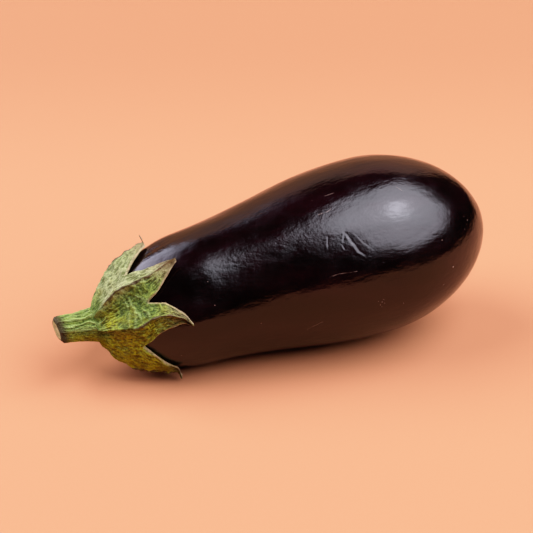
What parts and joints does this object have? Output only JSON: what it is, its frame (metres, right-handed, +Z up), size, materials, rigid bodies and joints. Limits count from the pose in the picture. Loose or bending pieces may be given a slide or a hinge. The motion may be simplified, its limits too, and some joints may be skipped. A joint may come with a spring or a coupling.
{
  "type": "eggplant",
  "caption": "Whole eggplant lying on its side: glossy near-black purple fruit with a slim neck and a swollen blossom end, capped by a green pointed calyx with a cut stub of stalk.",
  "frame": {"origin": "on the floor, under the middle of the whole eggplant's box", "axes": "+X runs along the fruit from the stalk to the blossom end, +Z is up, and the side that the picture shows faces -Y"},
  "size_m": [0.207, 0.084, 0.0854],
  "materials": {
    "fruit_skin": "smooth waxy skin with a strong gloss",
    "calyx_green": "dry leafy tissue, matte, ribbed, browned at its folds and points"
  },
  "bodies": {
    "root": {"fruit": "fruit_skin", "calyx": "calyx_green"}
  },
  "joints": []
}
